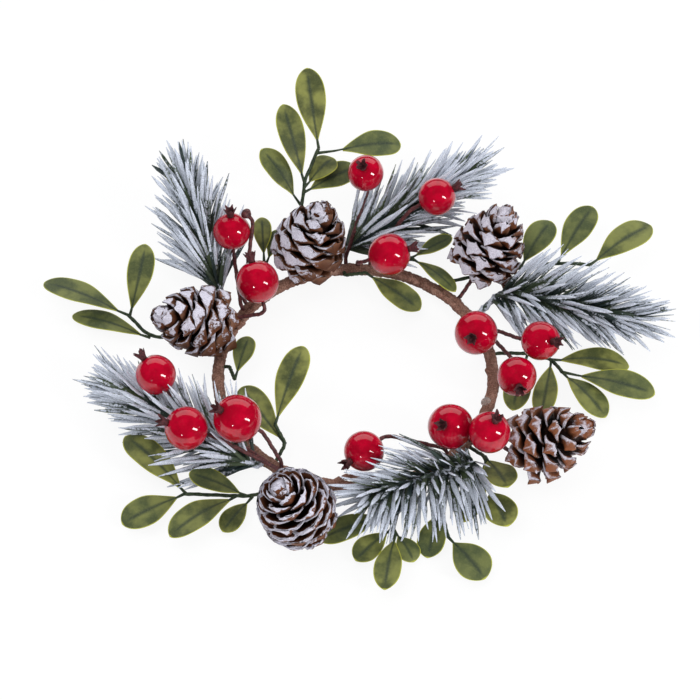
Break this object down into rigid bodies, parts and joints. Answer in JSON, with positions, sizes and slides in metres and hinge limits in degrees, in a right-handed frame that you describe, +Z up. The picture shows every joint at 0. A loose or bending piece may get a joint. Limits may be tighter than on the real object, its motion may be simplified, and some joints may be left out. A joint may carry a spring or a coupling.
{
  "type": "candle ring",
  "caption": "Small round candle ring: pine cones, red berries, snowy pine sprigs and leafy sprigs wired onto a bark-taped hoop, round a candle that stands in the middle.",
  "frame": {"origin": "middle of the candle opening, on the table", "axes": "+Z up off the table, +Y to the back of the ring as pictured, +X to its right"},
  "size_m": [0.1718, 0.1503, 0.0333],
  "materials": {
    "hoop_steel": "drawn wire",
    "bark_tape": "crinkled matt tape",
    "clear_glue": "clear, glossy",
    "cone_wood": "dry scales, snowy rims",
    "dark_wire": "paper-covered",
    "dried_calyx": "crinkled",
    "red_berry": "lacquered",
    "flocked_needles": "matt, snowy",
    "olive_leaf": "soft satin"
  },
  "bodies": {
    "root": {"hoop_wire": "hoop_steel", "ring_binding": "bark_tape", "glue_beads": "clear_glue", "pick_stem_1": "bark_tape", "pine_cone_1": "cone_wood", "pine_cone_wire_1": "dark_wire", "berry_wires_1": "dark_wire", "berry_calyxes_1": "dried_calyx", "pine_sprig_1": "flocked_needles", "pick_stem_2": "bark_tape", "pine_cone_2": "cone_wood", "pine_cone_wire_2": "dark_wire", "berry_wires_2": "dark_wire", "berry_calyxes_2": "dried_calyx", "pine_sprig_2": "flocked_needles", "pick_stem_3": "bark_tape", "pine_cone_3": "cone_wood", "pine_cone_wire_3": "dark_wire", "berry_wires_3": "dark_wire", "berry_calyxes_3": "dried_calyx", "pine_sprig_3": "flocked_needles", "pick_stem_4": "bark_tape", "pine_cone_4": "cone_wood", "pine_cone_wire_4": "dark_wire", "berry_wires_4": "dark_wire", "berry_calyxes_4": "dried_calyx", "pine_sprig_4": "flocked_needles", "pick_stem_5": "bark_tape", "pine_cone_5": "cone_wood", "pine_cone_wire_5": "dark_wire", "berry_wires_5": "dark_wire", "berry_calyxes_5": "dried_calyx", "pine_sprig_5": "flocked_needles", "berry_1a": "red_berry", "berry_1b": "red_berry", "berry_2a": "red_berry", "berry_2b": "red_berry", "berry_2c": "red_berry", "berry_3a": "red_berry", "berry_3b": "red_berry", "berry_3c": "red_berry", "berry_4a": "red_berry", "berry_4b": "red_berry", "berry_4c": "red_berry", "berry_5a": "red_berry", "berry_5b": "red_berry", "berry_5c": "red_berry", "leaf_sprig_back": "olive_leaf", "leaf_sprig_left": "olive_leaf", "leaf_sprig_front_left": "olive_leaf", "leaf_sprig_front": "olive_leaf", "leaf_sprig_front_right": "olive_leaf", "leaf_sprig_front_corner": "olive_leaf", "leaf_sprig_right": "olive_leaf", "leaf_sprig_back_right": "olive_leaf", "leaf_inner_front_left": "olive_leaf", "leaf_inner_left": "olive_leaf", "leaf_inner_back": "olive_leaf", "leaf_inner_back_left": "olive_leaf", "leaf_inner_back_right": "olive_leaf"}
  },
  "joints": []
}
